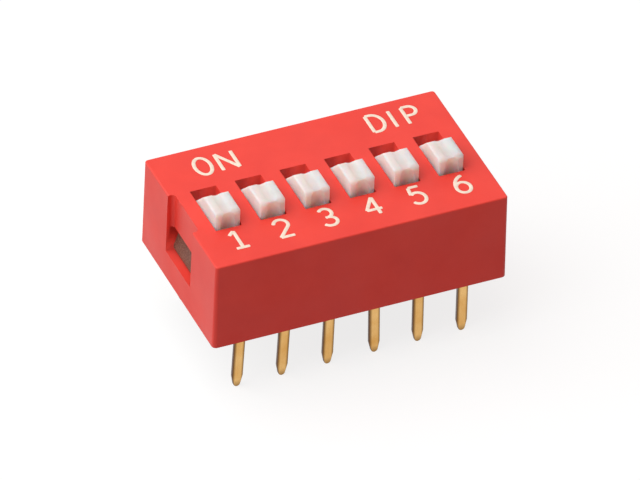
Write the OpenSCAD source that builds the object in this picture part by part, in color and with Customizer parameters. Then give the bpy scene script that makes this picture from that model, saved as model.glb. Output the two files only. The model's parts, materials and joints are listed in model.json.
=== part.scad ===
// Slide-type DIP switch. Units are millimetres.
// X runs along the row of positions, +Y points to the ON side, +Z is up.
// The origin is the centre of the seating plane, which is the underside of the base.
// The sliders are drawn at OFF and move along +Y by the travel to ON.

/* [Package] */
// Number of switch positions
poles = 6; // [1:1:12]
// Spacing of the positions along the body
pitch = 2.54; // [2.4:0.01:3.2]
// Distance between the two rows of terminals
row_spacing = 7.62; // [7.2:0.01:9]

/* [Cover] */
// Height of the cover from the seating plane to its top face
cover_h = 5.3; // [5:0.05:7]
// From the centre of the last position to the end face, at the top
end_margin = 1.94; // [1.85:0.01:3]
// From a row of terminals to the side face, at the top
row_margin = 1.055; // [1:0.005:1.6]
// How much further out each side wall stands at the bottom than at the top
draft = 0.067; // [0:0.001:0.12]
// Radius of the upright corners at the bottom
corner_r = 0.25; // [0.21:0.01:0.5]
// Radius of the edges round the top face
edge_r = 0.08; // [0.04:0.01:0.09]
// Thickness of the top wall
top_wall = 0.7; // [0.5:0.05:0.9]
// Thickness of the long side walls
side_wall = 0.6; // [0.45:0.01:0.7]
// Thickness of the end walls, away from the relief
end_wall = 0.75; // [0.6:0.01:0.8]
// Thickness of the ribs between neighbouring sliders
guide_rib = 0.54; // [0.3:0.01:0.7]

/* [Slots] */
// Width of each slot in the top face
slot_w = 1.48; // [1.3:0.01:1.6]
// How far the slots' middle lies from the body's middle, along Y
slot_y = -0.21; // [-0.4:0.01:0.4]

/* [End windows] */
// Width of the window in each end wall, and of the relief
notch_w = 3.3; // [2:0.05:5]
// Depth of the relief in the end wall at position 1
notch_depth = 0.38; // [0.3:0.01:0.45]
// Radius of the relief's upright inside corners
notch_r = 0.22; // [0.1:0.01:0.25]
// Height of the window's sill above the seating plane
sill_h = 1.65; // [1:0.05:2]
// Height of the window
window_h = 1.55; // [0.8:0.05:1.6]

/* [Base] */
// Thickness of the floor that carries the contact pads
floor_t = 1.5; // [1.2:0.05:1.8]
// Depth of the wells round the legs, in the underside
well_depth = 0.4; // [0.2:0.05:0.6]
// Room beside a leg in its well
well_margin = 0.25; // [0.2:0.01:0.35]
// Thickness of the latch's lower lip
latch_lip = 0.2; // [0.1:0.01:0.4]
// Gap between the latch and the sill that it catches on
latch_gap = 0.12; // [0.05:0.01:0.2]

/* [Sliders] */
// Travel of a slider from OFF to ON
travel = 0.66; // [0.55:0.01:0.8]
// Length of the knob where it leaves the slot
knob_len = 2.56; // [2.2:0.01:3]
// Height of the knob above the top face
knob_h = 0.93; // [0.6:0.01:1.5]
// Length of the knob's top, from its front face to the edge of the slope
knob_top_len = 1.62; // [1.3:0.01:1.9]
// Radius of the knob's front top edge
knob_r = 0.3; // [0.2:0.01:0.4]
// Radius of the knob's side edges, along its top and up its front
knob_edge_r = 0.1; // [0.05:0.01:0.15]
// Radius of the scoop's section, in the knob's front
scoop_r = 0.55; // [0.5:0.01:0.7]
// Depth of the scoop where the knob leaves the slot
scoop_foot = 0.2; // [0.15:0.01:0.22]
// Depth of the scoop at the height of the knob's top
scoop_head = 0.1; // [0.05:0.01:0.15]
// Radius of the hollow's section, along the knob's top and down its slope
hollow_r = 0.65; // [0.6:0.01:1]
// Depth of the hollow
hollow_depth = 0.08; // [0.04:0.01:0.1]
// Thickness of the plate under the knob
plate_t = 1.2; // [1:0.05:1.4]
// How far the plate still reaches past the slot at the end of its travel
plate_lap = 0.4; // [0.2:0.05:0.8]

/* [Contacts] */
// Thickness of the bridge contact's strip
contact_t = 0.1; // [0.08:0.01:0.15]
// Width of the bridge contact
contact_w = 1.1; // [0.8:0.01:1.2]
// Width of the slit between its two fingers
contact_slit = 0.2; // [0.1:0.01:0.4]
// Radius of the shoulders under the slider, on the strip's middle line
shoulder_r = 0.22; // [0.15:0.01:0.25]
// Radius of the feet that wipe the pads, on the strip's middle line
foot_r = 0.22; // [0.15:0.01:0.25]
// Angle below the horizontal at which the feet end
foot_end = 10; // [0:1:40]
// Depth of the pocket that holds the contact in the slider's plate
pocket_depth = 0.5; // [0.3:0.05:0.7]

/* [Terminals] */
// Width of a leg
leg_w = 0.6; // [0.4:0.01:0.7]
// Thickness of the terminal strip
strip_t = 0.25; // [0.15:0.01:0.3]
// Length of a leg below the seating plane
leg_len = 3.83; // [2.5:0.01:4.5]
// Radius of the leg's tip
tip_r = 0.19; // [0.1:0.01:0.19]
// Half angle of the taper above the tip, in degrees
tip_angle = 12; // [8:1:30]
// Inside radius of the bend between leg and pad
bend_r = 0.2; // [0.15:0.01:0.3]
// Width of a contact pad
pad_w = 1; // [0.8:0.01:1.2]
// Gap between the two pads of a position
pad_gap = 0.5; // [0.4:0.01:0.8]

/* [Clearances] */
// Running clearance of a slider, on each side
run_gap = 0.05; // [0.03:0.01:0.08]
// Running clearance of a knob in its slot, on each side
knob_gap = 0.03; // [0.02:0.01:0.06]
// Clearance between a knob and the end of its slot, at OFF and at ON
end_gap = 0.15; // [0.02:0.01:0.2]
// Fit between the base and the cover, on each side
fit_gap = 0.05; // [0.02:0.01:0.08]
// Room left round each terminal in the base
mould_gap = 0.02; // [0.01:0.01:0.04]
// Gap between a contact's foot and the pads under it
foot_gap = 0.02; // [0.01:0.01:0.05]
// Room for the contact in the slider's pocket and in the base's channel, on each side
contact_gap = 0.1; // [0.05:0.01:0.15]

/* [Hidden] */
$fn = 48;
eps = 0.01;

// How far the tips of the front legs stand out of line along X, from terminal 1 on
tip_lean = [-0.14, -0.12, -0.05, 0.1, 0.05, 0.03];

// Cover, at the top
cover_len = (poles - 1) * pitch + 2 * end_margin;
cover_w = row_spacing + 2 * row_margin;
// Centres of the upright corner arcs
corner_x = cover_len / 2 + draft - corner_r;
corner_y = cover_w / 2 + draft - corner_r;
// Cavity
cavity_len = cover_len - 2 * end_wall;
cavity_w = cover_w - 2 * side_wall;
cavity_top = cover_h - top_wall;

// Slider plate, between the cover's top wall and the base's rails
plate_top = cavity_top - run_gap;
plate_z = plate_top - plate_t;
rail_z = plate_z - run_gap;
plate_w = pitch - guide_rib - 2 * run_gap;
// Slot and knob
knob_w = slot_w - 2 * knob_gap;
slot_len = knob_len + travel + 2 * end_gap;
slot_front = slot_y - slot_len / 2;
knob_front = slot_front + end_gap;
knob_top = cover_h + knob_h;
plate_reach = travel + end_gap + plate_lap;

// Bridge contact, which straddles the pads' gap at ON
contact_z = floor_t + foot_gap;
contact_top = plate_z + pocket_depth - foot_gap;
foot_span = 2 * travel;
contact_half = foot_span / 2 + foot_r + contact_t / 2;
channel_w = contact_w + 2 * contact_gap;

// Base
base_len = cavity_len - 2 * fit_gap;
base_w = cavity_w - 2 * fit_gap;
latch_w = notch_w - 2 * fit_gap;
latch_reach = end_wall - notch_depth + fit_gap;

// Terminals
bend_mid = bend_r + strip_t / 2;
strip_mid = floor_t - strip_t / 2;
shoulder_z = well_depth + mould_gap;

function position_x(i) = (i - (poles + 1) / 2) * pitch;
// Terminals count along the front row and back along the rear row
function terminal_column(n) = n <= poles ? n : 2 * poles + 1 - n;
function terminal_side(n) = n <= poles ? -1 : 1;
function terminal_lean(n) = n <= min(poles, len(tip_lean)) ? tip_lean[n - 1] : 0;

// Lays a shape drawn in (Y, Z) upright and gives it a width along X
module across(width) {
    rotate([90, 0, 90])
        linear_extrude(width, center = true)
            children();
}

// Lays a shape drawn in (X, Z) upright and gives it a length along Y
module along(length) {
    rotate([90, 0, 0])
        linear_extrude(length, center = true)
            children();
}

// A box centred in X and Y
module block(size, z) {
    translate([-size.x / 2, -size.y / 2, z])
        cube(size);
}

// A block section from low to high, with its two upper corners rounded
module round_shoulders(width, low, high, radius) {
    translate([-width / 2, low])
        square([width, high - radius - low]);
    translate([-width / 2 + radius, low])
        square([width - 2 * radius, high - low]);
    for (side = [-1, 1])
        translate([side * (width / 2 - radius), high - radius])
            circle(radius);
}

// A straight piece of strip from p to q
module strip_line(p, q, thickness) {
    translate(p)
        rotate(atan2(q.y - p.y, q.x - p.x))
            translate([0, -thickness / 2])
                square([norm(q - p), thickness]);
}

// A bent piece of strip, by less than a half turn, from angle a to angle b
module strip_bend(centre, radius, a, b, thickness) {
    far = 4 * radius;
    mid = (a + b) / 2;
    translate(centre)
        intersection() {
            difference() {
                circle(radius + thickness / 2);
                circle(radius - thickness / 2);
            }
            polygon([
                [0, 0],
                [far * cos(a), far * sin(a)],
                [far * cos(mid), far * sin(mid)],
                [far * cos(b), far * sin(b)]
            ]);
        }
}

// ---- Cover ----

// Section through a side wall, outwards from the axis of an upright corner
module wall_section() {
    top_r = corner_r - draft;
    polygon([[0, 0], [corner_r, 0], [top_r, cover_h - edge_r], [0, cover_h - edge_r]]);
    square([top_r - edge_r, cover_h]);
    translate([top_r - edge_r, cover_h - edge_r])
        intersection() {
            circle(edge_r);
            square(edge_r);
        }
}

// Section across the whole block, with the same wall on both sides
module block_section(half) {
    translate([-half, 0])
        square([2 * half, cover_h]);
    for (side = [0, 1])
        mirror([side, 0])
            translate([half, 0])
                wall_section();
}

// Outer form: one wall section, extruded both ways and turned at the corners
module cover_form() {
    along(2 * corner_y)
        block_section(corner_x);
    across(2 * corner_x)
        block_section(corner_y);
    for (x = [-1, 1], y = [-1, 1])
        translate([x * corner_x, y * corner_y, 0])
            rotate_extrude()
                wall_section();
}

// Room for the base below, and for each slider's plate above it
module cover_cavity() {
    block([cavity_len, cavity_w, rail_z + run_gap + eps], -eps);
    for (i = [1:poles])
        translate([position_x(i), 0, 0])
            block([plate_w + 2 * run_gap, cavity_w, cavity_top - rail_z], rail_z);
}

// Latch window through the +X end wall
module window() {
    translate([cover_len / 2 - end_wall - eps, -notch_w / 2, sill_h])
        cube([end_wall + 1, notch_w, window_h]);
}

// Relief in the outside of the -X end wall, from the window's sill up through the top face
module relief() {
    translate([-cover_len / 2, 0, sill_h])
        linear_extrude(cover_h)
            rotate(-90)
                round_shoulders(notch_w, -1, notch_depth, notch_r);
}

module cover() {
    color("#e8403a")
        difference() {
            cover_form();
            cover_cavity();
            for (i = [1:poles])
                translate([position_x(i) - slot_w / 2, slot_front, cavity_top - eps])
                    cube([slot_w, slot_len, top_wall + 1]);
            for (side = [0, 1])
                mirror([side, 0, 0])
                    window();
            relief();
        }
}

// ---- Base ----

// Snap latch: a flat lip that catches on the sill, with a slope above it
module latch() {
    low = sill_h + latch_gap;
    high = sill_h + window_h - fit_gap;
    translate([base_len / 2, 0, 0])
        along(latch_w)
            polygon([
                [-eps, low],
                [latch_reach, low],
                [latch_reach, low + latch_lip],
                [0, high],
                [-eps, high]
            ]);
}

// Channel in which a bridge contact slides
module contact_channel() {
    front = -travel - contact_half - contact_gap;
    back = contact_half + contact_gap;
    translate([-channel_w / 2, front, floor_t])
        cube([channel_w, back - front, rail_z]);
}

// Space that one terminal takes in the moulding, with its well in the underside
module terminal_space() {
    across(pad_w + 2 * mould_gap)
        intersection() {
            terminal_section(mould_gap);
            translate([-eps, shoulder_z - mould_gap])
                square([row_spacing, floor_t]);
        }
    translate([0, row_spacing / 2, 0])
        block([leg_w + 2 * mould_gap, strip_t + 2 * mould_gap, shoulder_z + 2 * eps], -eps);
    translate([0, row_spacing / 2, 0])
        block([leg_w + 2 * well_margin, strip_t + well_margin, well_depth + eps], -eps);
}

module base() {
    color("#2b2422")
        difference() {
            union() {
                block([base_len, base_w, rail_z], 0);
                for (side = [0, 1])
                    mirror([side, 0, 0])
                        latch();
            }
            for (i = [1:poles])
                translate([position_x(i), 0, 0]) {
                    contact_channel();
                    for (side = [0, 1])
                        mirror([0, side, 0])
                            terminal_space();
                }
        }
}

// ---- Sliders ----

// Side view of the knob: upright front, rounded top edge, flat top, slope at the back
module knob_profile() {
    low = plate_top - eps;
    high = knob_top - knob_r;
    // the slope ends where it meets the top face
    polygon([
        [0, low],
        [0, high],
        [knob_r, high],
        [knob_r, knob_top],
        [knob_top_len, knob_top],
        [knob_len, cover_h],
        [knob_len, low]
    ]);
    translate([knob_r, high])
        circle(knob_r);
}

// Finger scoop in the front, which gets shallower towards the top
module scoop() {
    translate([0, scoop_foot, cover_h])
        rotate([atan2(scoop_foot - scoop_head, knob_h), 0, 0])
            translate([0, -scoop_r, -2 * knob_h])
                cylinder(h = 4 * knob_h, r = scoop_r);
}

// Hollow along the top and down the slope, whose two parts meet over the edge between them
module hollow() {
    slope = atan2(knob_h, knob_len - knob_top_len);
    edge = [0, knob_top_len, knob_top - hollow_depth];
    translate(edge)
        rotate([-90, 0, 0])
            translate([0, -hollow_r, -2 * knob_len])
                cylinder(h = 4 * knob_len, r = hollow_r);
    translate(edge)
        rotate([-90 - slope, 0, 0])
            translate([0, -hollow_r, -2 * knob_len])
                cylinder(h = 4 * knob_len, r = hollow_r);
}

// Knob: what its side view, its front view and its plan have in common, less the two finger grips
module knob() {
    difference() {
        intersection() {
            across(2 * knob_w)
                knob_profile();
            along(4 * knob_len)
                round_shoulders(knob_w, plate_top - 2 * eps, knob_top, knob_edge_r);
            translate([0, 0, plate_top - 2 * eps])
                linear_extrude(knob_top)
                    mirror([0, 1])
                        round_shoulders(knob_w, -2 * knob_len, 0, knob_edge_r);
        }
        scoop();
        hollow();
    }
}

module slider(i) {
    color("#ece6e2")
        translate([position_x(i), knob_front, 0])
            difference() {
                union() {
                    knob();
                    translate([-plate_w / 2, -plate_reach, plate_z])
                        cube([plate_w, knob_len + 2 * plate_reach, plate_t]);
                }
                // pocket for the bridge contact
                translate([0, -knob_front - travel, plate_z - eps])
                    block([
                        contact_w + 2 * contact_gap,
                        2 * (shoulder_r + contact_t / 2 + contact_gap),
                        pocket_depth + eps
                    ], 0);
            }
}

// ---- Contacts ----

// Side view of the bridge contact: round shoulder, two legs and two turned-up feet
module contact_section() {
    shoulder = [0, contact_top - contact_t / 2 - shoulder_r];
    foot = [foot_span / 2, contact_z + contact_t / 2 + foot_r];
    d = foot - shoulder;
    // direction from the shoulder's centre to the point where a leg leaves it
    a = atan2(d.y, d.x) + acos((shoulder_r + foot_r) / norm(d));
    n = [cos(a), sin(a)];
    lap = eps * [n.y, -n.x];
    strip_bend(shoulder, shoulder_r, a, 180 - a, contact_t);
    for (side = [0, 1])
        mirror([side, 0]) {
            strip_line(shoulder + shoulder_r * n - lap, foot - foot_r * n + lap, contact_t);
            strip_bend(foot, foot_r, a - 180, -foot_end, contact_t);
        }
}

module contact(i) {
    color("#d9ab5b")
        translate([position_x(i), -travel, 0])
            difference() {
                across(contact_w)
                    contact_section();
                // slit between the fingers
                block([
                    contact_slit,
                    4 * contact_half,
                    (plate_z - contact_z) / 2
                ], contact_z - eps);
            }
}

// ---- Terminals ----

// Side view of a rear terminal: pad along the floor, bend, leg to below the seating plane
module terminal_section(grow = 0) {
    t = strip_t + 2 * grow;
    bend_y = row_spacing / 2 - bend_mid;
    translate([pad_gap / 2 - grow, strip_mid - t / 2])
        square([bend_y - pad_gap / 2 + grow, t]);
    strip_bend([bend_y, strip_mid - bend_mid], bend_mid, 0, 90, t);
    translate([row_spacing / 2 - t / 2, 0])
        square([t, strip_mid - bend_mid]);
}

// Front view of a leg, with its tapered round tip standing off by lean
module leg_outline(lean) {
    tip_z = -leg_len + tip_r;
    touch = [tip_r * cos(tip_angle), tip_z - tip_r * sin(tip_angle)];
    taper_z = touch.y + (leg_w / 2 - touch.x) / tan(tip_angle);
    polygon([
        [-leg_w / 2, shoulder_z + eps],
        [leg_w / 2, shoulder_z + eps],
        [leg_w / 2, 0],
        [leg_w / 2 + lean * taper_z / -leg_len, taper_z],
        [lean + touch.x, touch.y],
        [lean - touch.x, touch.y],
        [-leg_w / 2 + lean * taper_z / -leg_len, taper_z],
        [-leg_w / 2, 0]
    ]);
    translate([lean, tip_z])
        circle(tip_r);
}

module terminal(n) {
    column = terminal_column(n);
    color("#d8a24e")
        translate([position_x(column), 0, 0])
            mirror([0, terminal_side(n) < 0 ? 1 : 0, 0]) {
                across(pad_w)
                    intersection() {
                        terminal_section();
                        translate([0, shoulder_z])
                            square([row_spacing, floor_t]);
                    }
                translate([0, row_spacing / 2, 0])
                    along(strip_t)
                        leg_outline(terminal_lean(n));
            }
}

cover();
base();
for (i = [1:poles]) {
    slider(i);
    contact(i);
}
for (n = [1:2 * poles])
    terminal(n);
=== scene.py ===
"""Finish of a slide-type DIP switch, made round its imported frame.

The file is laid out as an add-on: property groups hold the sizes and colours, each group
of pieces has an operator, and a panel in the 3D view's sidebar lists them. Run as a
script, it makes every piece in turn. Lengths are in metres, and MM is one millimetre.
X runs along the row of positions, Y points to the ON side and Z points up.
"""

import json
import math

import bmesh
import bpy
from bpy.props import FloatProperty, FloatVectorProperty, PointerProperty
from mathutils import Matrix, Vector


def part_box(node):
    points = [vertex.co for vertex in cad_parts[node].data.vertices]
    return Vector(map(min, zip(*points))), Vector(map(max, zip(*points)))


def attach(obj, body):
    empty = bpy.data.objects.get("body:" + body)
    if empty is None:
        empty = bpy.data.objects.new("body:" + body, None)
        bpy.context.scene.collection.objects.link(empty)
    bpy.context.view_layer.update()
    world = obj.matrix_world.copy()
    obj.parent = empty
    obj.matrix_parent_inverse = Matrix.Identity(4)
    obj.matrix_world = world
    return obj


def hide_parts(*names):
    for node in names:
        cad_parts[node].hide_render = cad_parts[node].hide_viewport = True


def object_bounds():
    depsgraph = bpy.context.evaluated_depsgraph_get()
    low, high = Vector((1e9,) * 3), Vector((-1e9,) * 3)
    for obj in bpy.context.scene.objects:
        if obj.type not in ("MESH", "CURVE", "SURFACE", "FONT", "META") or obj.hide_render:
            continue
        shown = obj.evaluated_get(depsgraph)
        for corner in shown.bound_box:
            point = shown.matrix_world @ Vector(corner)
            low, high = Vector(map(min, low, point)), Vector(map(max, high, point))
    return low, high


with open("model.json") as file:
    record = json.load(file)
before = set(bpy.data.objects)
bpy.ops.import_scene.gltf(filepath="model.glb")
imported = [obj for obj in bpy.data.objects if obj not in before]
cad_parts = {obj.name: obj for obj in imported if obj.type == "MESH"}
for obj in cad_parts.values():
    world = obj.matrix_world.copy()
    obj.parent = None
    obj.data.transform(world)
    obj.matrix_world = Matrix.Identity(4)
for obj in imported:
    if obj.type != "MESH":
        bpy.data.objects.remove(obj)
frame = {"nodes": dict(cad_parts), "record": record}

bl_info = {
    "name": "DIP switch",
    "version": (1, 0, 0),
    "blender": (4, 5, 0),
    "location": "3D View > Sidebar > DIP Switch",
    "description": "Makes the finished pieces of a slide-type DIP switch and its stage",
    "category": "Object",
}

MM = 0.001
CAD_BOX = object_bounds()
NODES = frame["nodes"]
BODIES = frame["record"]["behaviour"]["bodies"]
TOP_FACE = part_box("cover")[1].z
PIN_TIP = min(corner.z for corner in CAD_BOX)
# Faces that meet at more than SHARP make an edge, and under FLAT they are one flat face
SHARP = math.radians(30)
FLAT = math.radians(0.5)
# Vertices closer than MERGE are one, and those within TIP_BAND of the lowest point are a leg's tip
MERGE = 0.0001 * MM
TIP_BAND = 0.01 * MM
# The attribute of a terminal that holds its leg's middle along X
MIDDLE = "middle"


def linear(code):
    """The linear colour of an sRGB hex code such as '#E6372C'."""
    shares = [int(code[i:i + 2], 16) / 255 for i in (1, 3, 5)]
    return [c / 12.92 if c <= 0.04045 else ((c + 0.055) / 1.055) ** 2.4 for c in shares]


def numbered(prefix):
    """The frame's nodes called prefix_1, prefix_2 and so on, in order."""
    names = [name for name in NODES if name.startswith(prefix + "_")]
    return sorted(names, key=lambda name: int(name.rsplit("_", 1)[1]))


def body_of(node):
    """The body that a CAD node is part of."""
    return next(body for body, members in BODIES.items() if node in members)


def colour(name, description, code):
    """A colour that can be set, given as an sRGB hex code."""
    return FloatVectorProperty(
        name=name, description=description, subtype="COLOR", size=3, min=0, max=1, default=linear(code)
    )


def length(name, description, default):
    """A length that can be set, in metres."""
    return FloatProperty(
        name=name, description=description, default=default, subtype="DISTANCE", unit="LENGTH", precision=6
    )


def angle(name, description, degrees):
    """An angle that can be set, given in degrees."""
    return FloatProperty(
        name=name, description=description, default=math.radians(degrees), subtype="ANGLE", unit="ROTATION"
    )


def share(name, description, default):
    """A share from 0 to 1 that can be set."""
    return FloatProperty(
        name=name, description=description, default=default, subtype="FACTOR", min=0, max=1
    )


# ---- Sizes and colours ----


class MouldedParts(bpy.types.PropertyGroup):
    """Cover, base and sliders"""

    cover_colour: colour("Cover", "Red PBT of the cover", "#F04134")
    cover_shade: colour("Cover shade", "Darker red in the mottling of the cover", "#E83B30")
    base_colour: colour("Base", "Dark brown PBT of the base", "#643A30")
    fibre_colour: colour("Glass fibre", "Glass fibres that show at the base's skin", "#8A5E4E")
    slider_colour: colour("Slider", "Off-white nylon of the sliders", "#E6E0DE")
    slider_shade: colour("Slider shade", "Greyer white in the mottling of the sliders", "#DDD7D4")
    cover_round: length("Cover edges", "Radius of the cover's moulded edges", 0.05 * MM)
    base_round: length("Base edges", "Radius of the base's moulded edges", 0.04 * MM)
    slider_round: length("Slider edges", "Radius of the sliders' moulded edges", 0.05 * MM)
    cover_grain: length("Cover grain", "Grain that the spark-eroded mould leaves on the cover", 0.09 * MM)
    fibre_size: length("Fibre size", "Size of the glass fibres' specks", 0.07 * MM)
    slider_grain: length("Slider grain", "Faint unevenness of the sliders' skin", 0.14 * MM)


class MetalParts(bpy.types.PropertyGroup):
    """Terminals and bridge contacts"""

    gold_colour: colour("Gold", "Thin gold plating over nickel", "#E8BB78")
    gold_shade: colour("Gold shade", "Thinner plating, where the nickel shows through", "#D8A258")
    # This colour is the bare metal of the sheared sides and also their painted dark reflection, the
    # painted shade along the legs' edges, and the darker colour of the legs' tips
    bare_and_shade_colour: colour("Bare metal and shade", "Dark bare metal of the sheared sides, also the painted shade of the legs", "#5E3A1C")
    strip_round: length("Strip edges", "Radius of the stamped strip's edges", 0.045 * MM)
    # The next two set the painted shade that darkens a leg towards its edges below the base
    edge_shade_width: length("Worn edge", "How far the painted shade reaches in from a leg's edges", 0.15 * MM)
    edge_shade_start: length("Worn start", "Depth below the base at which the painted shade on a leg's edges is full", 0.1 * MM)
    # The next two set how a leg's colour grows darker towards its tip
    dark_tip_length: length("Worn tip", "How far above a leg's tip its colour grows darker", 0.45 * MM)
    tip_darkness: share("Tip wear", "Share of the dark colour at the very tip", 0.7)
    rolling_pitch: length("Rolling lines", "Spacing of the rolling lines along the strip", 0.06 * MM)
    rolling_stretch: FloatProperty(
        name="Rolling stretch", description="How many times longer than wide a rolling line is", default=40
    )


class PadPrint(bpy.types.PropertyGroup):
    """Marks on the top face"""

    ink_colour: colour("Ink", "Cream-white pad-printing ink", "#FBE9D6")
    thin_ink: share("Thin ink", "Share of its brightness that the ink keeps where it is thin", 0.86)
    cap_height: length("Letter height", "Height of the letters and numbers", 1.42 * MM)
    stroke: length("Stroke", "Width of a printed stroke", 0.205 * MM)
    ink_thickness: length("Ink thickness", "Thickness of the ink at the middle of a stroke", 0.012 * MM)
    step: length("Step", "Spacing of the points along a stroke", 0.02 * MM)
    number_row: length("Number row", "Place of the numbers along Y", -3.0 * MM)
    number_shift: length("Number shift", "From a slider's middle to its number's, along X", 0.08 * MM)
    word_row: length("Word row", "Place of the first word along Y", 3.28 * MM)


class Stage(bpy.types.PropertyGroup):
    """Floor, light and camera"""

    floor_colour: colour("Floor", "Matt grey of the floor's paper", "#828282")
    floor_size: length("Floor size", "Side of the square floor", 1.2)
    paper_fibre: length("Paper fibre", "Size of the clouds of fibre in the paper", 0.6 * MM)
    paper_shade: share("Paper shade", "Share of its brightness that the paper has outside them", 0.99)
    floor_glow: share("Floor glow", "White added where the camera or a reflection sees the floor", 0.8)
    room_colour: colour("Room light", "Warm tint of the even light that the room gives", "#FFE0D8")
    ambient: share("Ambient", "Strength of the even light all round", 0.38)
    key_colour: colour("Key light", "Cool tint of the key lamp", "#F4FEFF")
    key_level: share("Key", "Share of a white top face's light that the key lamp gives", 0.74)
    key_azimuth: angle("Key azimuth", "Direction of the key lamp round Z, from +X", 168)
    key_elevation: angle("Key elevation", "Height of the key lamp above the floor", 54)
    key_distance: length("Key distance", "From the switch to the key lamp", 0.30)
    key_size: length("Key size", "Side of the square key lamp", 0.42)
    azimuth: angle("Camera azimuth", "Direction of the camera round Z, from -Y", -24.56)
    elevation: angle("Camera elevation", "Height of the camera above the top face", 38.68)
    roll: angle("Camera roll", "Turn of the camera about its own axis", 2.12)
    distance: length("Camera distance", "From the top face to the camera", 0.6298)
    right: length("Camera right", "From the top face's middle to the picture's, to the right", -0.323 * MM)
    up: length("Camera up", "From the top face's middle to the picture's, upwards", -3.215 * MM)
    lens: FloatProperty(name="Lens", description="Focal length", subtype="DISTANCE_CAMERA", default=677)


class SwitchLook(bpy.types.PropertyGroup):
    """All sizes and colours of the finished switch"""

    moulded: PointerProperty(name="Moulded", description="Cover, base and sliders", type=MouldedParts)
    metal: PointerProperty(name="Metal", description="Terminals and contacts", type=MetalParts)
    print: PointerProperty(name="Pad print", description="Marks on the top face", type=PadPrint)
    stage: PointerProperty(name="Stage", description="Floor, light and camera", type=Stage)


# ---- Materials ----


def add(tree, kind, inputs=None, **settings):
    """Adds a node. An input gets a value, or a link from an output or from a node's first output."""
    node = tree.nodes.new(kind)
    for name, value in settings.items():
        setattr(node, name, value)
    for key, value in (inputs or {}).items():
        if isinstance(value, bpy.types.Node):
            value = value.outputs[0]
        if isinstance(value, bpy.types.NodeSocket):
            tree.links.new(value, node.inputs[key])
        else:
            node.inputs[key].default_value = value
    return node


def blank_material(name):
    """A material, its emptied tree, and the object coordinates that its patterns read."""
    material = bpy.data.materials.new(name)
    material.use_nodes = True
    tree = material.node_tree
    tree.nodes.clear()
    return material, tree, add(tree, "ShaderNodeTexCoord").outputs["Object"]


def finish_material(tree, **inputs):
    """The shader with its inputs, given by their names with _ for a space, and the output."""
    named = {name.replace("_", " "): value for name, value in inputs.items()}
    shader = add(tree, "ShaderNodeBsdfPrincipled", named)
    add(tree, "ShaderNodeOutputMaterial", {"Surface": shader})


def blotches(tree, place, size, detail=2.0):
    """Noise whose blotches are about size across, pulled apart so that it runs from 0 to 1."""
    noise = add(tree, "ShaderNodeTexNoise", {"Vector": place, "Scale": 1 / size, "Detail": detail})
    return add(tree, "ShaderNodeMapRange", {
        "Value": noise.outputs["Fac"], "From Min": 0.3, "From Max": 0.7,
    })


def uneven_material(name, colours, mottling, roughness, sheen, grain, relief, **even):
    """A material that isn't quite the same all over.

    colours and roughness are a low and a high value each. mottling, sheen and grain are the size
    and the detail of the blotches that the colour, the roughness and the bump follow. relief is
    the depth and the strength of the bump. The other values are even.
    """
    material, tree, place = blank_material(name)
    finish_material(
        tree,
        Base_Color=add(tree, "ShaderNodeMixRGB", {
            "Fac": blotches(tree, place, *mottling),
            "Color1": [*colours[0], 1], "Color2": [*colours[1], 1],
        }),
        Roughness=add(tree, "ShaderNodeMapRange", {
            "Value": blotches(tree, place, *sheen), "To Min": roughness[0], "To Max": roughness[1],
        }),
        Normal=add(tree, "ShaderNodeBump", {
            "Height": blotches(tree, place, *grain), "Distance": relief[0], "Strength": relief[1],
        }),
        **even,
    )
    return material


def red_moulded_pbt():
    """Injection-moulded PBT from a finely spark-eroded mould: an even satin red, faintly mottled.

    The grain of such a mould is some 0.03 mm wide. It is drawn coarser, so that it shows.
    """
    look = bpy.context.scene.switch_look.moulded
    return uneven_material(
        "Red PBT, injection moulded",
        colours=(look.cover_shade, look.cover_colour),
        mottling=(2.2 * MM, 3),
        roughness=(0.42, 0.54),
        sheen=(3.5 * MM, 4),
        grain=(look.cover_grain,),
        relief=(0.008 * MM, 0.35),
        IOR=1.55,
        Specular_IOR_Level=0.4,
    )


def dark_filled_pbt():
    """Glass-filled PBT: a dull dark brown skin, flecked by the short fibres near its surface.

    The fibres are some 0.01 mm thick. They are drawn as coarser specks, so that they show.
    """
    look = bpy.context.scene.switch_look.moulded
    return uneven_material(
        "Dark glass-filled PBT, injection moulded",
        colours=(look.base_colour, look.fibre_colour),
        mottling=(look.fibre_size, 1),
        roughness=(0.45, 0.65),
        sheen=(0.8 * MM,),
        grain=(look.fibre_size, 1),
        relief=(0.006 * MM, 0.3),
        IOR=1.55,
        Specular_IOR_Level=0.2,
    )


def white_nylon():
    """Moulded nylon: off-white and translucent, so that light from the red slot glows in it."""
    look = bpy.context.scene.switch_look.moulded
    return uneven_material(
        "White nylon, injection moulded",
        colours=(look.slider_shade, look.slider_colour),
        mottling=(0.9 * MM, 3),
        roughness=(0.55, 0.7),
        sheen=(0.7 * MM,),
        grain=(look.slider_grain,),
        relief=(0.008 * MM, 0.35),
        IOR=1.53,
        Specular_IOR_Level=0.15,
        Subsurface_Weight=1,
        Subsurface_Radius=(1.0, 0.4, 0.3),
        Subsurface_Scale=2.6 * MM,
    )


def pad_print_ink():
    """Pad-printed ink: a thin matt cream-white film, a little thinner in places."""
    look = bpy.context.scene.switch_look.print
    return uneven_material(
        "Cream pad-printing ink",
        colours=([look.thin_ink * c for c in look.ink_colour], look.ink_colour),
        mottling=(0.25 * MM, 3),
        roughness=(0.55, 0.7),
        sheen=(0.2 * MM,),
        grain=(0.1 * MM,),
        relief=(0.006 * MM, 0.3),
    )


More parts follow.
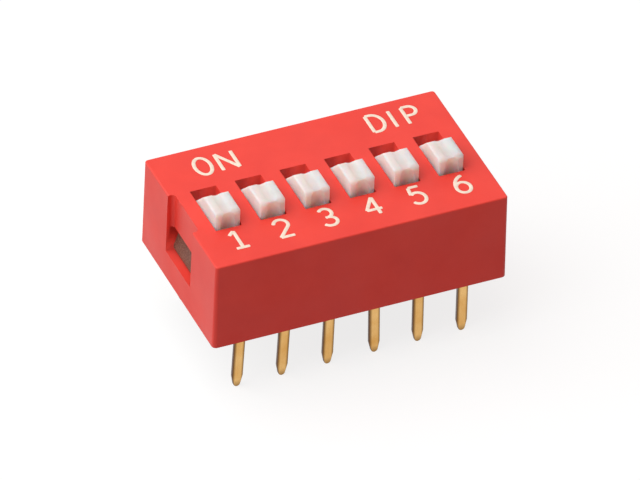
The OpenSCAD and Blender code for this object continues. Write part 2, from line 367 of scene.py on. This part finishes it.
def gold_plated_strip():
    """Rolled and stamped copper alloy, gold plated: warm metal with fine rolling lines along Z.

    Its sheared sides are bare metal, drawn dark, which is also their painted dark reflection.
    Below the base, painted shade darkens a leg towards its edges, and its colour grows darker
    towards its tip. The rolling lines are some 0.01 mm apart. They are drawn coarser, so that they show.
    """
    look = bpy.context.scene.switch_look.metal
    material, tree, place = blank_material("Gold-plated copper alloy, rolled and stamped")
    # noise that is drawn out along Z makes the lines
    drawn = add(tree, "ShaderNodeMapping", {"Vector": place, "Scale": (1, 1, 1 / look.rolling_stretch)})
    lines = blotches(tree, drawn, look.rolling_pitch, 1)
    plated = add(tree, "ShaderNodeMixRGB", {
        "Fac": blotches(tree, place, 1.1 * MM, 3),
        "Color1": [*look.gold_shade, 1], "Color2": [*look.gold_colour, 1],
    })

    # every strip bends about X, so its sheared sides are the faces that look along X
    # these sides get the dark colour of bare metal, which is also their painted dark reflection
    normal = add(tree, "ShaderNodeTexCoord").outputs["Normal"]
    facing = add(tree, "ShaderNodeSeparateXYZ", {"Vector": normal}).outputs
    sheared = add(tree, "ShaderNodeMath", {0: facing["X"]}, operation="ABSOLUTE")

    # below the base, painted shade darkens a leg towards its edges
    leg = [vertex.co.x for vertex in NODES[numbered("terminal")[-1]].data.vertices if vertex.co.z < 0]
    half_width = (max(leg) - min(leg)) / 2
    at = add(tree, "ShaderNodeSeparateXYZ", {"Vector": place}).outputs
    middle = add(tree, "ShaderNodeAttribute", attribute_name=MIDDLE).outputs["Fac"]
    offset = add(tree, "ShaderNodeMath", {0: at["X"], 1: middle}, operation="SUBTRACT")
    aside = add(tree, "ShaderNodeMath", {0: offset}, operation="ABSOLUTE")
    beside = add(tree, "ShaderNodeMapRange", {
        "Value": aside, "From Min": half_width - look.edge_shade_width, "From Max": half_width,
    })
    below = add(tree, "ShaderNodeMapRange", {
        "Value": at["Z"], "From Min": 0, "From Max": -look.edge_shade_start,
    })
    # edge is the painted shade along a leg's edges, full from the set depth down
    edge = add(tree, "ShaderNodeMath", {0: below, 1: beside}, operation="MULTIPLY")

    # and its colour grows darker towards its tip
    tip = add(tree, "ShaderNodeMapRange", {
        "Value": at["Z"], "From Min": PIN_TIP + look.dark_tip_length, "From Max": PIN_TIP,
        "To Max": look.tip_darkness,
    })
    # the painted edge shade and the darker tip together
    edge_shade_and_dark_tip = add(tree, "ShaderNodeMath", {0: edge, 1: tip}, operation="MAXIMUM")
    bare_and_shaded = add(tree, "ShaderNodeMath", {0: sheared, 1: edge_shade_and_dark_tip}, operation="MAXIMUM")
    finish_material(
        tree,
        Base_Color=add(tree, "ShaderNodeMixRGB", {
            "Fac": bare_and_shaded, "Color1": plated, "Color2": [*look.bare_and_shade_colour, 1],
        }),
        Metallic=1,
        Roughness=add(tree, "ShaderNodeMapRange", {"Value": lines, "To Min": 0.24, "To Max": 0.38}),
        Normal=add(tree, "ShaderNodeBump", {"Height": lines, "Distance": 0.003 * MM, "Strength": 0.4}),
    )
    return material


# ---- Pieces ----


def link(name, data):
    """A new object of the scene with a mesh, a curve, a lamp or a camera."""
    piece = bpy.data.objects.new(name, data)
    bpy.context.scene.collection.objects.link(piece)
    return piece


def with_round_edges(node, name, radius, material):
    """Stands a copy of a CAD node in its place, with its sharp outer edges rounded."""
    mesh = bpy.data.meshes.new(name)
    bm = bmesh.new()
    bm.from_mesh(NODES[node].data)
    bmesh.ops.remove_doubles(bm, verts=bm.verts, dist=MERGE)
    bmesh.ops.dissolve_limit(bm, angle_limit=FLAT, verts=bm.verts[:], edges=bm.edges[:])
    bmesh.ops.recalc_face_normals(bm, faces=bm.faces[:])
    rounding = bm.edges.layers.float.new("bevel_weight_edge")
    for edge in bm.edges:
        sharp = edge.calc_face_angle() > SHARP
        edge[rounding] = sharp and edge.is_convex
        edge.smooth = not sharp or edge.is_convex
    for face in bm.faces:
        face.smooth = True
    bm.to_mesh(mesh)
    bm.free()
    # the copied normals belong to the CAD mesh's loose triangles
    if "custom_normal" in mesh.attributes:
        mesh.attributes.remove(mesh.attributes["custom_normal"])
    mesh.materials.clear()
    mesh.materials.append(material)
    piece = link(name, mesh)
    bevel = piece.modifiers.new("Round edges", "BEVEL")
    bevel.width = radius
    bevel.segments = 3
    bevel.limit_method = "WEIGHT"
    # large faces keep their own normals, so that they stay flat beside the rounding
    even = piece.modifiers.new("Flat faces", "WEIGHTED_NORMAL")
    even.keep_sharp = True
    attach(piece, body_of(node))
    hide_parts(node)
    return piece


class DIPSWITCH_OT_cover(bpy.types.Operator):
    """Make the red moulded cover"""

    bl_idname = "dip_switch.cover"
    bl_label = "Cover"

    def execute(self, context):
        look = context.scene.switch_look.moulded
        with_round_edges("cover", "cover_shell", look.cover_round, red_moulded_pbt())
        return {"FINISHED"}


class DIPSWITCH_OT_base(bpy.types.Operator):
    """Make the dark moulded base"""

    bl_idname = "dip_switch.base"
    bl_label = "Base"

    def execute(self, context):
        look = context.scene.switch_look.moulded
        with_round_edges("base", "base_block", look.base_round, dark_filled_pbt())
        return {"FINISHED"}


class DIPSWITCH_OT_sliders(bpy.types.Operator):
    """Make the white sliders"""

    bl_idname = "dip_switch.sliders"
    bl_label = "Sliders"

    def execute(self, context):
        look = context.scene.switch_look.moulded
        material = white_nylon()
        for number, node in enumerate(numbered("slider"), 1):
            with_round_edges(node, f"slider_body_{number}", look.slider_round, material)
        return {"FINISHED"}


def store_middle(piece):
    """Stores the place of a terminal's middle along X at each vertex's height, as its leg may lean."""
    points = [vertex.co for vertex in piece.data.vertices]
    centre = (min(point.x for point in points) + max(point.x for point in points)) / 2
    tip = [point.x for point in points if point.z < PIN_TIP + TIP_BAND]
    lean = sum(tip) / len(tip) - centre
    middle = piece.data.attributes.new(MIDDLE, "FLOAT", "POINT")
    for point, entry in zip(points, middle.data):
        entry.value = centre + lean * max(0, point.z / PIN_TIP)


class DIPSWITCH_OT_contacts(bpy.types.Operator):
    """Make the bridge contacts and the terminals"""

    bl_idname = "dip_switch.contacts"
    bl_label = "Contacts and terminals"

    def execute(self, context):
        look = context.scene.switch_look.metal
        material = gold_plated_strip()
        for number, node in enumerate(numbered("contact"), 1):
            with_round_edges(node, f"bridge_contact_{number}", look.strip_round, material)
        for number, node in enumerate(numbered("terminal"), 1):
            strip = with_round_edges(node, f"terminal_strip_{number}", look.strip_round, material)
            store_middle(strip)
        return {"FINISHED"}


# ---- Marks ----


def arc(x, y, radius_x, radius_y, start, end, points=16):
    """Points along an ellipse, from start to end in degrees."""
    turns = [math.radians(start + (end - start) * i / (points - 1)) for i in range(points)]
    return [(x + radius_x * math.cos(t), y + radius_y * math.sin(t)) for t in turns]


# The strokes of each mark, for a letter one unit high that stands on 0 and starts at 0
GLYPHS = {
    "O": [arc(0.31, 0.5, 0.31, 0.5, 90, 450, 40)],
    "N": [[(0, 0), (0, 1)], [(0, 1), (0.645, 0)], [(0.645, 0), (0.645, 1)]],
    "D": [[(0, 0), (0, 1)], [(0, 1), (0.18, 1), *arc(0.18, 0.5, 0.38, 0.5, 90, -90), (0, 0)]],
    "I": [[(0, 0), (0, 1)]],
    "P": [[(0, 0), (0, 1)], [(0, 1), (0.25, 1), *arc(0.25, 0.74, 0.25, 0.26, 90, -90), (0, 0.48)]],
    "1": [[(0.03, 0.78), (0.27, 1)], [(0.27, 1), (0.27, 0)], [(0, 0), (0.54, 0)]],
    "2": [[*arc(0.28, 0.72, 0.27, 0.28, 170, -35), (0, 0)], [(0, 0), (0.56, 0)]],
    "3": [
        [*arc(0.26, 0.745, 0.24, 0.255, 150, -90)],
        [*arc(0.26, 0.25, 0.28, 0.25, 90, -155)],
        [(0.17, 0.49), (0.27, 0.495)],
    ],
    "4": [[(0.44, 0), (0.44, 1)], [(0.44, 1), (0, 0.3)], [(0, 0.3), (0.62, 0.3)]],
    "5": [
        [(0.5, 1), (0.1, 1)],
        [(0.1, 1), (0.05, 0.56)],
        [(0.05, 0.56), *arc(0.25, 0.33, 0.29, 0.33, 105, -150)],
    ],
    "6": [
        [*arc(0.27, 0.31, 0.27, 0.31, 0, 360, 32)],
        [*arc(0.56, 0.31, 0.56, 0.69, 180, 100)],
    ],
}


# The letters of the two words: each one's column, and its place from there and from the row
WORDS = (
    ("O", 0, 0.73 * MM, 0),
    ("N", 0, 2.1 * MM, 0),
    ("D", -1, -2.01 * MM, 0.1 * MM),
    ("I", -1, -1.09 * MM, 0.1 * MM),
    ("P", -1, 0, 0.1 * MM),
)
# A stroke whose ends lie closer than this, in letter heights, is closed
CLOSED = 1e-6
# Each stroke ends in half a superellipse: a power of 2 is round, and 4 is nearly square
END_POWER = 4.0


def mark_curve(name, marks, cap_height):
    """A curve with the strokes of every mark. A mark is a character and the place of its middle."""
    curve = bpy.data.curves.new(name, "CURVE")
    curve.dimensions = "3D"
    for character, x, y in marks:
        strokes = GLYPHS[character]
        width = max(px for stroke in strokes for px, _ in stroke)
        for stroke in strokes:
            spline = curve.splines.new("POLY")
            closed = len(stroke) > 2 and math.dist(stroke[0], stroke[-1]) < CLOSED
            points = stroke[:-1] if closed else stroke
            spline.points.add(len(points) - 1)
            spline.use_cyclic_u = closed
            for point, (px, py) in zip(spline.points, points):
                point.co = (x + (px - width / 2) * cap_height, y + (py - 0.5) * cap_height, 0, 1)
    return curve


def printing_tree():
    """Geometry nodes that lay a film of ink along each stroke, thickest in the middle of its width."""
    tree = bpy.data.node_groups.new("Pad print", "GeometryNodeTree")
    tree.interface.new_socket(name="Strokes", in_out="INPUT", socket_type="NodeSocketGeometry")
    sockets = {
        name: tree.interface.new_socket(name=name, in_out="INPUT", socket_type=kind).identifier
        for name, kind in (
            ("Stroke", "NodeSocketFloat"),
            ("Thickness", "NodeSocketFloat"),
            ("Height", "NodeSocketFloat"),
            ("Step", "NodeSocketFloat"),
            ("Ink", "NodeSocketMaterial"),
        )
    }
    tree.interface.new_socket(name="Print", in_out="OUTPUT", socket_type="NodeSocketGeometry")
    given = add(tree, "NodeGroupInput").outputs
    radius = add(tree, "ShaderNodeMath", {0: given["Stroke"], 1: 2.0}, operation="DIVIDE")
    strokes = add(tree, "GeometryNodeResampleCurve", {
        "Curve": given["Strokes"], "Length": given["Step"],
    }, mode="LENGTH")

    # an open stroke narrows over its last radius, as (1 - (1 - inside) ^ power) ^ (1 / power)
    along = add(tree, "GeometryNodeSplineParameter").outputs["Length"]
    whole = add(tree, "GeometryNodeSplineLength").outputs["Length"]
    ahead = add(tree, "ShaderNodeMath", {0: whole, 1: along}, operation="SUBTRACT")
    to_end = add(tree, "ShaderNodeMath", {0: along, 1: ahead}, operation="MINIMUM")
    radii = add(tree, "ShaderNodeMath", {0: to_end, 1: radius}, operation="DIVIDE")
    inside = add(tree, "ShaderNodeMath", {0: radii, 1: 1.0}, operation="MINIMUM")
    outside = add(tree, "ShaderNodeMath", {0: 1.0, 1: inside}, operation="SUBTRACT")
    lost = add(tree, "ShaderNodeMath", {0: outside, 1: END_POWER}, operation="POWER")
    kept = add(tree, "ShaderNodeMath", {0: 1.0, 1: lost}, operation="SUBTRACT")
    width = add(tree, "ShaderNodeMath", {0: kept, 1: 1 / END_POWER}, operation="POWER")
    scale = add(tree, "GeometryNodeSwitch", {
        "Switch": add(tree, "GeometryNodeInputSplineCyclic"), "False": width, "True": 1.0,
    }, input_type="FLOAT")

    # a round section along the strokes, pressed flat and laid on the top face
    section = add(tree, "GeometryNodeCurvePrimitiveCircle", {"Resolution": 12, "Radius": radius})
    film = add(tree, "GeometryNodeCurveToMesh", {
        "Curve": strokes, "Profile Curve": section, "Scale": scale,
    })
    flat = add(tree, "ShaderNodeMath", {0: given["Thickness"], 1: radius}, operation="DIVIDE")
    laid = add(tree, "GeometryNodeTransform", {
        "Geometry": film,
        "Scale": add(tree, "ShaderNodeCombineXYZ", {"X": 1.0, "Y": 1.0, "Z": flat}),
        "Translation": add(tree, "ShaderNodeCombineXYZ", {"Z": given["Height"]}),
    })
    smooth = add(tree, "GeometryNodeSetShadeSmooth", {"Geometry": laid})
    real = add(tree, "GeometryNodeRealizeInstances", {"Geometry": smooth})
    inked = add(tree, "GeometryNodeSetMaterial", {"Geometry": real, "Material": given["Ink"]})
    add(tree, "NodeGroupOutput", {"Print": inked})
    return tree, sockets


def made_by(tree, values, source, name):
    """The plain mesh piece that a geometry nodes tree makes from a source object, which goes."""
    modifier = source.modifiers.new(tree.name, "NODES")
    modifier.node_group = tree
    for identifier, value in values.items():
        modifier[identifier] = value
    graph = bpy.context.evaluated_depsgraph_get()
    mesh = bpy.data.meshes.new_from_object(source.evaluated_get(graph), depsgraph=graph)
    mesh.name = name
    source.modifiers.remove(modifier)
    bpy.data.objects.remove(source)
    return link(name, mesh)


class DIPSWITCH_OT_marks(bpy.types.Operator):
    """Print the generic words and the position numbers on the top face"""

    bl_idname = "dip_switch.marks"
    bl_label = "Marks"

    def execute(self, context):
        look = context.scene.switch_look.print
        columns = [sum(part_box(node)[i].x for i in (0, 1)) / 2 for node in numbered("slider")]
        marks = [
            (str(number), x + look.number_shift, look.number_row)
            for number, x in enumerate(columns, 1)
        ]
        marks += [
            (letter, columns[column] + right, look.word_row + up)
            for letter, column, right, up in WORDS
        ]
        tree, sockets = printing_tree()
        source = link("strokes", mark_curve("strokes", marks, look.cap_height))
        piece = made_by(tree, {
            sockets["Stroke"]: look.stroke,
            sockets["Thickness"]: look.ink_thickness,
            sockets["Height"]: TOP_FACE,
            sockets["Step"]: look.step,
            sockets["Ink"]: pad_print_ink(),
        }, source, "printed_marks")
        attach(piece, body_of("cover"))
        return {"FINISHED"}


# ---- Stage ----


def seen_directly(tree):
    """1 for rays from the camera and for those that gloss or glass sends on, 0 for the rest."""
    path = add(tree, "ShaderNodeLightPath").outputs
    straight = add(tree, "ShaderNodeMath", {
        0: path["Is Camera Ray"], 1: path["Is Glossy Ray"],
    }, operation="MAXIMUM")
    return add(tree, "ShaderNodeMath", {0: straight, 1: path["Is Transmission Ray"]}, operation="MAXIMUM")


def floor_paper():
    """Matt grey paper that takes the shadow, and glows just enough to look white.

    Only the camera and reflections see the glow, so it casts no light on the switch.
    """
    look = bpy.context.scene.switch_look.stage
    material, tree, place = blank_material("Matt paper")
    fibre = add(tree, "ShaderNodeMixRGB", {
        "Fac": blotches(tree, place, look.paper_fibre),
        "Color1": [*(look.paper_shade * c for c in look.floor_colour), 1],
        "Color2": [*look.floor_colour, 1],
    })
    paper = add(tree, "ShaderNodeBsdfDiffuse", {"Color": fibre})
    strength = add(tree, "ShaderNodeMath", {
        0: seen_directly(tree), 1: look.floor_glow,
    }, operation="MULTIPLY")
    glow = add(tree, "ShaderNodeEmission", {"Strength": strength})
    both = add(tree, "ShaderNodeAddShader", {0: paper, 1: glow})
    add(tree, "ShaderNodeOutputMaterial", {"Surface": both})
    return material


def floor(look):
    """A square of paper at the height of the legs' tips."""
    half = look.floor_size / 2
    mesh = bpy.data.meshes.new("floor")
    corners = [(x, y, PIN_TIP) for x, y in ((-half, -half), (half, -half), (half, half), (-half, half))]
    mesh.from_pydata(corners, [], [(0, 1, 2, 3)])
    mesh.materials.append(floor_paper())
    link("floor", mesh)


def surroundings(look):
    """An even world: a plain level of warm light, and white where it is seen directly."""
    world = bpy.data.worlds.new("Studio")
    world.use_nodes = True
    tree = world.node_tree
    tree.nodes.clear()
    light = add(tree, "ShaderNodeMixRGB", {
        "Fac": seen_directly(tree),
        "Color1": [*(look.ambient * c for c in look.room_colour), 1],
        "Color2": [1, 1, 1, 1],
    })
    even = add(tree, "ShaderNodeBackground", {"Color": light})
    add(tree, "ShaderNodeOutputWorld", {"Surface": even})
    bpy.context.scene.world = world


def towards(azimuth, elevation):
    """The unit vector at an azimuth from +X and an elevation."""
    level = math.cos(elevation)
    return Vector((math.cos(azimuth) * level, math.sin(azimuth) * level, math.sin(elevation)))


def key_lamp(look):
    """A square soft lamp, about as bright as its share of the light on a white top face needs."""
    lamp = bpy.data.lights.new("key", "AREA")
    lamp.size = look.key_size
    lamp.color = look.key_colour
    direction = towards(look.key_azimuth, look.key_elevation)
    # a square lamp of P watts and side s, d away at elevation e, lights a level face by about
    # P sin(e) / (pi d^2 + s^2), and a white face looks just white in a light of pi
    spread = math.pi * look.key_distance ** 2 + look.key_size ** 2
    lamp.energy = math.pi * look.key_level * spread / math.sin(look.key_elevation)
    piece = link("key", lamp)
    piece.location = direction * look.key_distance
    piece.rotation_euler = direction.to_track_quat("Z", "Y").to_euler()


def camera(look):
    """A camera aimed at the top face's middle, turned by its roll and then moved across its view."""
    data = bpy.data.cameras.new("camera")
    data.lens = look.lens
    data.clip_start = 0.01
    data.clip_end = 10
    piece = link("camera", data)
    back = towards(look.azimuth - math.pi / 2, look.elevation)
    level = Vector((0, 0, 1)).cross(back).normalized()
    upright = back.cross(level)
    right = math.cos(look.roll) * level + math.sin(look.roll) * upright
    up = math.cos(look.roll) * upright - math.sin(look.roll) * level
    target = Vector((0, 0, TOP_FACE)) + look.right * right + look.up * up
    place = target + look.distance * back
    piece.matrix_world = Matrix.Translation(place) @ Matrix((right, up, back)).transposed().to_4x4()
    bpy.context.scene.camera = piece


class DIPSWITCH_OT_stage(bpy.types.Operator):
    """Set up the floor, the light and the camera"""

    bl_idname = "dip_switch.stage"
    bl_label = "Stage"

    def execute(self, context):
        look = context.scene.switch_look.stage
        context.scene.view_settings.view_transform = "Standard"
        floor(look)
        surroundings(look)
        key_lamp(look)
        camera(look)
        return {"FINISHED"}


# ---- Add-on ----


class DIPSWITCH_PT_panel(bpy.types.Panel):
    """Sizes, colours and steps of the DIP switch"""

    bl_label = "DIP Switch"
    bl_idname = "DIPSWITCH_PT_panel"
    bl_space_type = "VIEW_3D"
    bl_region_type = "UI"
    bl_category = "DIP Switch"

    def draw(self, context):
        look = context.scene.switch_look
        for group in (look.moulded, look.metal, look.print, look.stage):
            box = self.layout.box()
            box.label(text=group.bl_rna.description)
            for name in group.__annotations__:
                box.prop(group, name)
        for operator in OPERATORS:
            self.layout.operator(operator.bl_idname)


GROUPS = (MouldedParts, MetalParts, PadPrint, Stage, SwitchLook)
OPERATORS = (
    DIPSWITCH_OT_stage,
    DIPSWITCH_OT_cover,
    DIPSWITCH_OT_base,
    DIPSWITCH_OT_sliders,
    DIPSWITCH_OT_contacts,
    DIPSWITCH_OT_marks,
)


def register():
    for cls in (*GROUPS, *OPERATORS, DIPSWITCH_PT_panel):
        bpy.utils.register_class(cls)
    bpy.types.Scene.switch_look = PointerProperty(type=SwitchLook)


def unregister():
    del bpy.types.Scene.switch_look
    for cls in reversed((*GROUPS, *OPERATORS, DIPSWITCH_PT_panel)):
        bpy.utils.unregister_class(cls)


def main():
    """Makes every piece and the stage."""
    register()
    bpy.ops.dip_switch.stage()
    bpy.ops.dip_switch.cover()
    bpy.ops.dip_switch.base()
    bpy.ops.dip_switch.sliders()
    bpy.ops.dip_switch.contacts()
    bpy.ops.dip_switch.marks()


if __name__ == "__main__":
    main()
